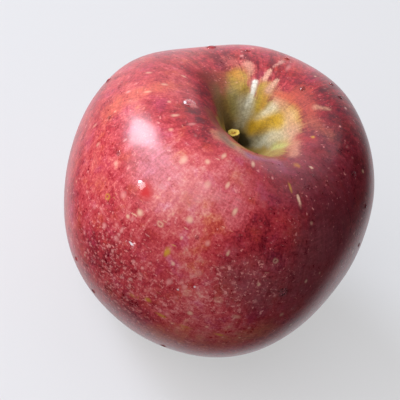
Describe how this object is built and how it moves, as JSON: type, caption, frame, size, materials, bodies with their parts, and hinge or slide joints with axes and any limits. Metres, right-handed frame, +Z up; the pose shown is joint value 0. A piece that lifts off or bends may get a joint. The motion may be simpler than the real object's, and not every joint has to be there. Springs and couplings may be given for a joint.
{
  "type": "red apple",
  "caption": "Large red dessert apple with its short woody stem in a deep leaning cavity, and dried sepals and stamens in the basin underneath.",
  "frame": {"origin": "on the plane the apple rests on, under the middle of its outline", "axes": "+Z up along the core towards the stem, +Y along the widest girth, +X along the narrower girth"},
  "size_m": [0.0902, 0.0944, 0.0827],
  "materials": {
    "skin": "waxy fruit skin, satin gloss, red blush in streaks over a yellow-green ground with pale dots",
    "stem": "dry brown bark, ochre cut end",
    "sepal": "dried, downy, grey-brown",
    "stamen": "dried, dark brown, dull"
  },
  "bodies": {
    "root": {"fruit": "skin", "stem": "stem", "calyx_sepals": "sepal", "calyx_stamens": "stamen"}
  },
  "joints": []
}
